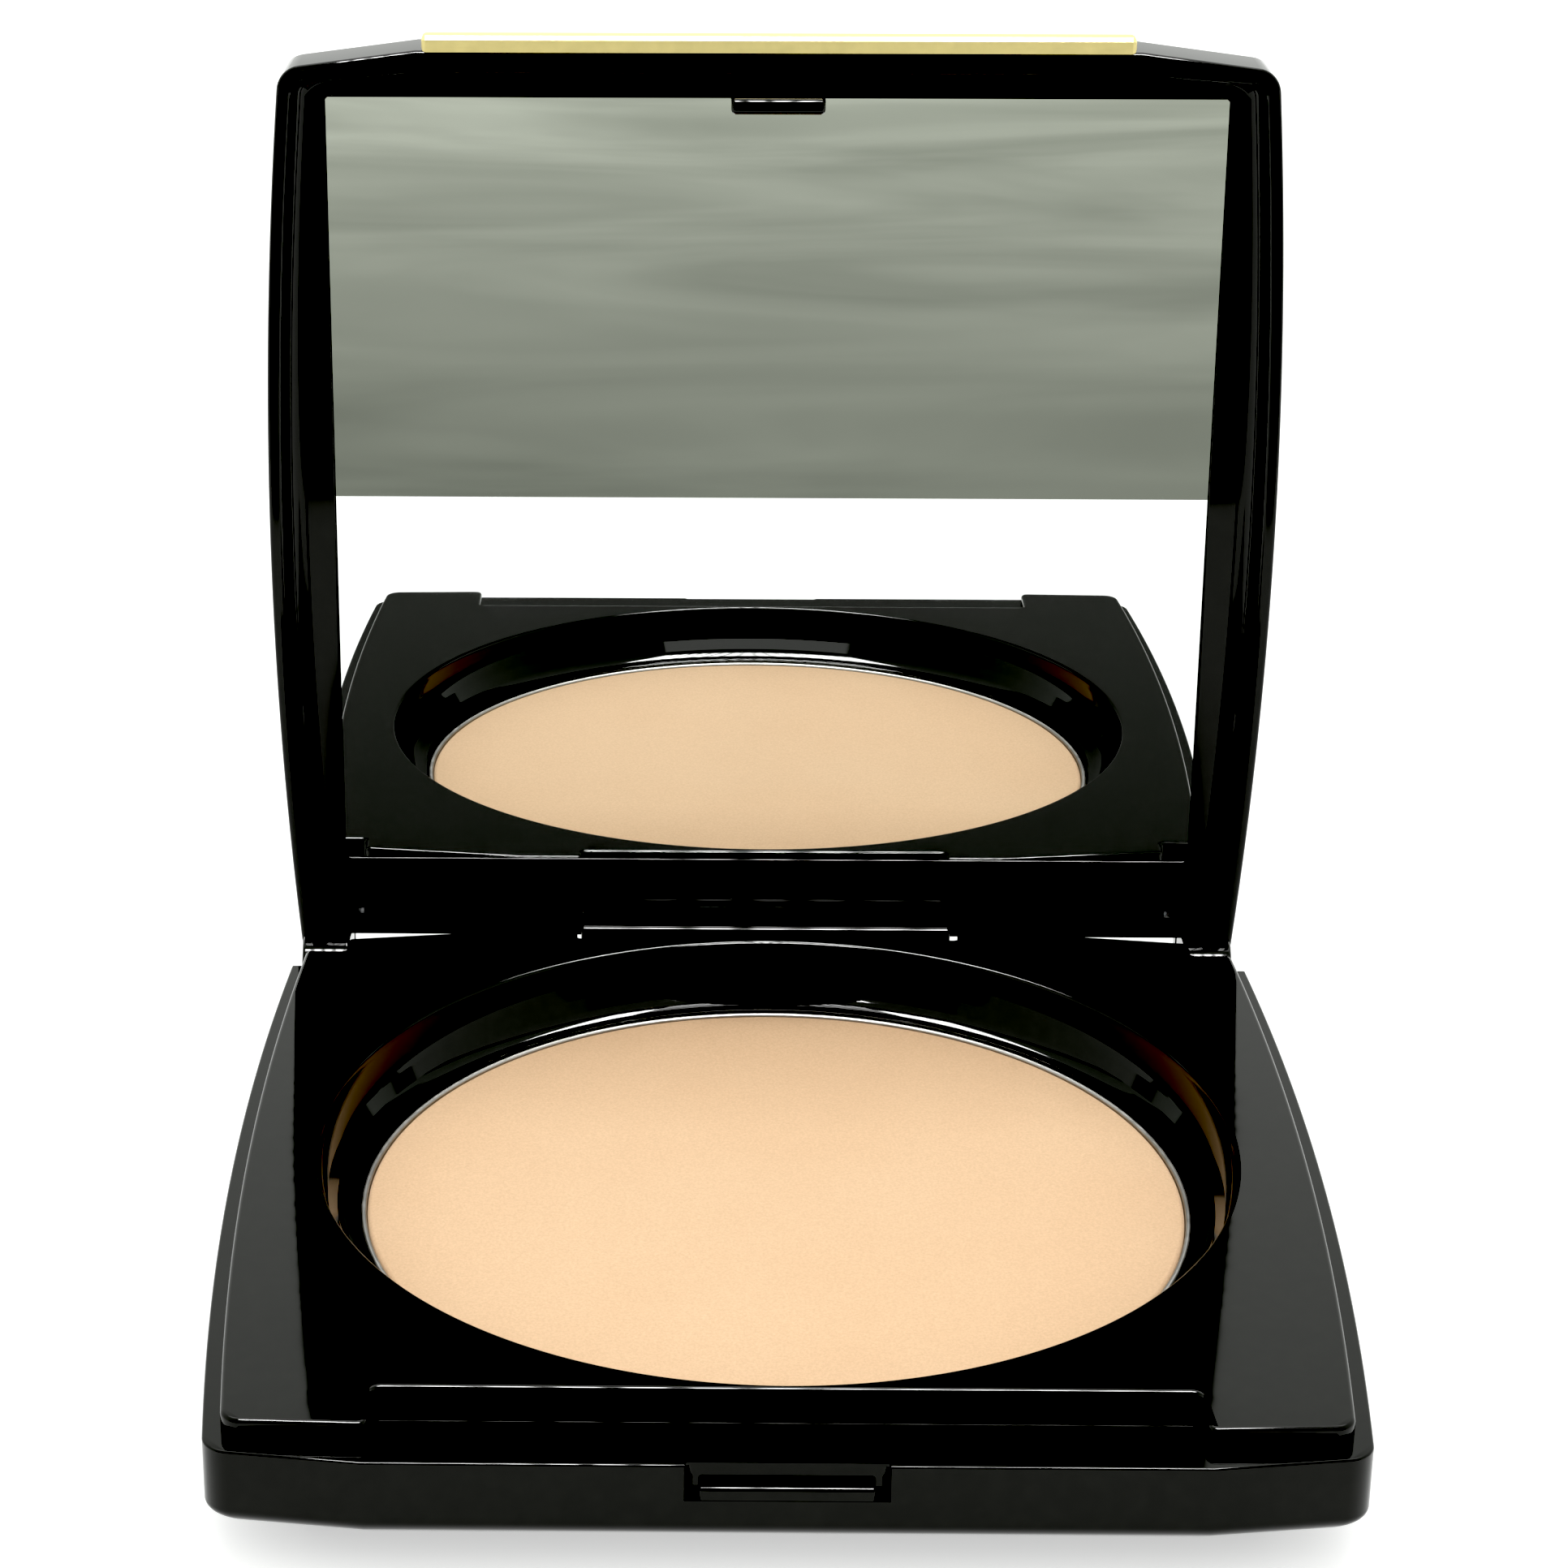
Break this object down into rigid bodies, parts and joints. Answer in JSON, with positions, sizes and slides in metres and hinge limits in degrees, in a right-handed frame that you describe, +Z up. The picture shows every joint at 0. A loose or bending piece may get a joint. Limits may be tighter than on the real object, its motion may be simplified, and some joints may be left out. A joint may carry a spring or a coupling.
{
  "type": "powder compact",
  "caption": "Black pressed-powder compact standing open: shallow tray with round powder pan, hinged lid with mirror, latch hook and a metal trim bar.",
  "frame": {"origin": "middle of the flat underside, under the middle of the case outline", "axes": "+Z up, -Y towards the thumb scoop, +Y towards the hinge, +X to the right"},
  "size_m": [0.0782, 0.0882, 0.0809],
  "materials": {
    "case_plastic": "polished black moulded plastic",
    "aluminium_pan": "thin drawn aluminium",
    "pressed_powder": "matte pressed powder",
    "adhesive": "dull translucent glue",
    "steel_pin": "drawn steel wire",
    "silvered_glass": "second-surface silvered glass",
    "gold_metal": "pale gold anodised metal, satin face with bright edges"
  },
  "bodies": {
    "base": {"base_tray": "case_plastic", "deck_frame": "case_plastic", "pan_glue": "adhesive", "powder_pan": "aluminium_pan", "powder_cake": "pressed_powder", "hinge_pin_left": "steel_pin", "hinge_pin_right": "steel_pin"},
    "lid": {"lid_shell": "case_plastic", "mirror_frame": "case_plastic", "mirror_glue": "adhesive", "mirror_glass": "silvered_glass", "trim_bar": "gold_metal"}
  },
  "joints": [
    {"name": "lid_hinge", "type": "hinge", "parent": "base", "child": "lid", "pos_m": [0, 0.03665, 0.0049], "axis": [1, 0, 0], "range_deg": [0, 91.66]}
  ]
}
